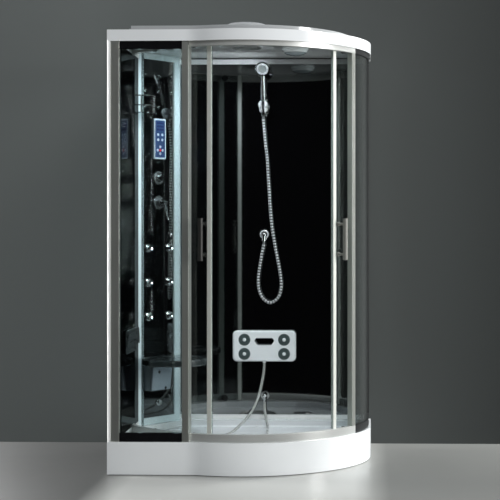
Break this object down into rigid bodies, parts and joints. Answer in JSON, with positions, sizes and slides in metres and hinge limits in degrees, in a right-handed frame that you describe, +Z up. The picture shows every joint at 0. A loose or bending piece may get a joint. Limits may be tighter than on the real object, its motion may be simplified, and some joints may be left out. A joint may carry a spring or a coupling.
{
  "type": "hydromassage shower cabin",
  "caption": "Corner shower cabin with a quarter-round front, curved sliding doors, a diagonal hydromassage column, seat, hand shower and massage board.",
  "frame": {"origin": "on the floor under the middle of the cabin's outline", "axes": "+Z up, the front with the doors looks towards -Y, the curved side is at +X"},
  "size_m": [1.275, 0.8999, 2.24],
  "materials": {
    "acrylic_white": "gloss",
    "trim_white": "gloss",
    "profile_satin": "satin",
    "rail_satin": "satin",
    "column_profile": "satin",
    "black_glass": "gloss",
    "clear_glass": "clear",
    "shelf_glass": "gloss",
    "chrome": "polished",
    "band_black": "gloss",
    "carrier_black": "gloss",
    "wheel_nylon": "satin",
    "seal_clear": "translucent",
    "seat_grey": "satin",
    "bracket_grey": "gloss",
    "pad_grey": "satin",
    "panel_rim": "gloss",
    "screen_blue": "gloss",
    "board_white": "gloss",
    "ring_grey": "satin",
    "hose_steel": "polished",
    "hose_grey": "translucent",
    "frame_steel": "galvanised",
    "foot_black": "matte",
    "trap_plastic": "matte",
    "pipe_plastic": "matte",
    "tank_steel": "brushed",
    "fan_plastic": "matte",
    "lamp_white": "opal"
  },
  "bodies": {
    "cabin": {"tray": "acrylic_white", "tray_frame": "frame_steel", "levelling_feet": "foot_black", "waste_trap": "trap_plastic", "roof_cover": "acrylic_white", "ceiling_panel": "acrylic_white", "roof_dome": "acrylic_white", "fan_housing": "fan_plastic", "ceiling_lamp": "lamp_white", "left_wall_glass": "black_glass", "back_wall_glass": "black_glass", "wall_frames": "rail_satin", "column_frame": "column_profile", "column_glass": "black_glass", "corner_trim": "trim_white", "wall_jambs": "profile_satin", "door_posts": "profile_satin", "top_rail": "rail_satin", "bottom_rail": "rail_satin", "flat_pane": "clear_glass", "pane_bands": "band_black", "curved_pane": "clear_glass", "corner_shelf": "shelf_glass", "shelf_rails": "chrome", "seat": "seat_grey", "seat_bracket": "bracket_grey", "backrest": "pad_grey", "control_panel": "panel_rim", "control_screen": "screen_blue", "valve_plates": "chrome", "back_jets": "chrome", "neck_jets": "chrome", "handset_holder": "chrome", "shower_hose": "hose_steel", "wall_fittings": "chrome", "board_hose": "hose_grey", "steam_generator": "tank_steel", "water_pipes": "pipe_plastic"},
    "drain_lid": {"drain_cover": "chrome"},
    "fan": {"fan_rotor": "foot_black"},
    "knob": {"function_knob": "chrome"},
    "mixer_swivel": {"mixer_cap": "chrome"},
    "mixer_handle": {"mixer_lever": "chrome"},
    "hand_shower": {"handset": "chrome"},
    "board": {"massage_board": "board_white", "board_rings": "ring_grey"},
    "left_leaf": {"left_door_glass": "clear_glass", "left_door_stile": "profile_satin", "left_door_seals": "seal_clear", "left_door_handle": "chrome", "left_door_carriers": "carrier_black"},
    "right_leaf": {"right_door_glass": "clear_glass", "right_door_stile": "profile_satin", "right_door_seals": "seal_clear", "right_door_handle": "chrome", "right_door_carriers": "carrier_black"},
    "left_roller_front": {"left_wheel_front": "wheel_nylon"},
    "left_roller_rear": {"left_wheel_rear": "wheel_nylon"},
    "right_roller_front": {"right_wheel_front": "wheel_nylon"},
    "right_roller_rear": {"right_wheel_rear": "wheel_nylon"}
  },
  "joints": [
    {"name": "left_door_slide", "type": "hinge", "parent": "cabin", "child": "left_leaf", "pos_m": [-0.0075, 0.195, 0], "axis": [0, 0, 1], "range_deg": [0, 30.1]},
    {"name": "right_door_slide", "type": "hinge", "parent": "cabin", "child": "right_leaf", "pos_m": [-0.0075, 0.195, 0], "axis": [0, 0, 1], "range_deg": [-30.1, 0]},
    {"name": "left_front_wheel_spin", "type": "hinge", "parent": "left_leaf", "child": "left_roller_front", "pos_m": [-0.23868, -0.37921, 2.0863], "axis": [-0.3735, -0.9276, 0], "range_deg": [-1553, 0]},
    {"name": "left_rear_wheel_spin", "type": "hinge", "parent": "left_leaf", "child": "left_roller_rear", "pos_m": [-0.45599, -0.23164, 2.0863], "axis": [-0.7245, -0.6892, 0], "range_deg": [-1553, 0]},
    {"name": "right_front_wheel_spin", "type": "hinge", "parent": "right_leaf", "child": "right_roller_front", "pos_m": [0.5227, -0.12446, 2.0863], "axis": [0.8565, -0.5161, 0], "range_deg": [0, 1553]},
    {"name": "right_rear_wheel_spin", "type": "hinge", "parent": "right_leaf", "child": "right_roller_rear", "pos_m": [0.60743, 0.12418, 2.0863], "axis": [0.9934, -0.1144, 0], "range_deg": [0, 1553]},
    {"name": "drain_cover_lift", "type": "slide", "parent": "cabin", "child": "drain_lid", "axis": [0, 0, 1], "range_m": [0, 0.03]},
    {"name": "fan_spin", "type": "hinge", "parent": "cabin", "child": "fan", "pos_m": [0.002, 0, 2.14], "axis": [0, 0, 1], "continuous": true},
    {"name": "function_knob_turn", "type": "hinge", "parent": "cabin", "child": "knob", "pos_m": [-0.48622, 0.2547, 1.458], "axis": [0.788, -0.6157, 0], "range_deg": [-135, 135]},
    {"name": "mixer_swivel_turn", "type": "hinge", "parent": "cabin", "child": "mixer_swivel", "pos_m": [-0.48622, 0.2547, 1.327], "axis": [0.788, -0.6157, 0], "range_deg": [-50, 50]},
    {"name": "mixer_lever_lift", "type": "hinge", "parent": "mixer_swivel", "child": "mixer_handle", "pos_m": [-0.44682, 0.22392, 1.327], "axis": [-0.6157, -0.788, 0], "range_deg": [0, 25]},
    {"name": "hand_shower_lift", "type": "slide", "parent": "cabin", "child": "hand_shower", "axis": [0, -0.2079, 0.9781], "range_m": [0, 0.028], "deforming": ["shower_hose"]},
    {"name": "board_lift", "type": "slide", "parent": "cabin", "child": "board", "axis": [0, 0, 1], "range_m": [0, 0.044], "deforming": ["board_hose"]}
  ],
  "couplings": [
    {"joint": "left_front_wheel_spin", "follows": "left_door_slide", "ratio": -51.583},
    {"joint": "left_rear_wheel_spin", "follows": "left_door_slide", "ratio": -51.583},
    {"joint": "right_front_wheel_spin", "follows": "right_door_slide", "ratio": -51.583},
    {"joint": "right_rear_wheel_spin", "follows": "right_door_slide", "ratio": -51.583}
  ]
}
